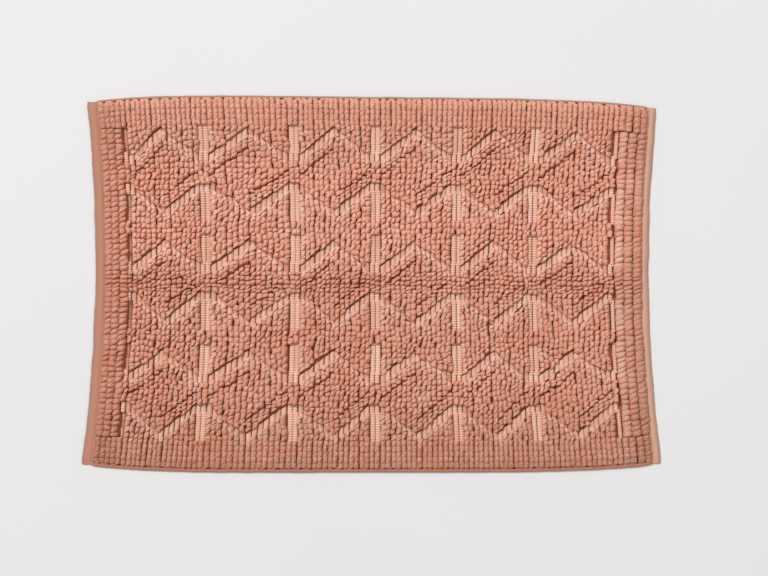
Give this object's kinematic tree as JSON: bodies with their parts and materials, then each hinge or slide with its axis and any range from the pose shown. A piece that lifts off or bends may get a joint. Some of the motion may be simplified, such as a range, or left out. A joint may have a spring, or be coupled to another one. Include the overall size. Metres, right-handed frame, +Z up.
{
  "type": "bath mat",
  "caption": "Rectangular woven cotton bath mat with rows of raised loop-pile diamonds between flat zigzag channels, selvedged long edges and turned, stitched short ends.",
  "frame": {"origin": "middle of the mat's underside, on the floor", "axes": "+X along the long edges towards the narrower hem, +Y across the mat towards the back selvedge, +Z up through the pile"},
  "size_m": [0.92, 0.602, 0.014],
  "materials": {
    "pile_cotton": "soft dusty terracotta cotton loop pile, matte",
    "channel_cotton": "paler peach flat-woven cotton, matte",
    "hem_cotton": "smooth plain-woven cotton, matte",
    "selvedge_cotton": "corded woven edge, matte",
    "sewing_thread": "twisted sewing thread, slight sheen"
  },
  "bodies": {
    "root": {"ground_cloth": "channel_cotton", "left_hem": "hem_cotton", "right_hem": "hem_cotton", "left_hem_stitching": "sewing_thread", "right_hem_stitching": "sewing_thread", "front_selvedge": "selvedge_cotton", "back_selvedge": "selvedge_cotton", "front_border_pile": "pile_cotton", "back_border_pile": "pile_cotton", "left_border_pile": "pile_cotton", "right_border_pile": "pile_cotton", "front_small_diamonds": "pile_cotton", "back_small_diamonds": "pile_cotton", "front_large_diamonds": "pile_cotton", "back_large_diamonds": "pile_cotton", "middle_diamonds": "pile_cotton", "front_outer_zigzag": "channel_cotton", "front_second_zigzag": "channel_cotton", "front_inner_zigzag": "channel_cotton", "back_inner_zigzag": "channel_cotton", "back_second_zigzag": "channel_cotton", "back_outer_zigzag": "channel_cotton", "channel_cords_1": "channel_cotton", "channel_cords_2": "channel_cotton", "channel_cords_3": "channel_cotton", "channel_cords_4": "channel_cotton", "channel_cords_5": "channel_cotton", "channel_cords_6": "channel_cotton", "channel_cords_7": "channel_cotton"}
  },
  "joints": []
}
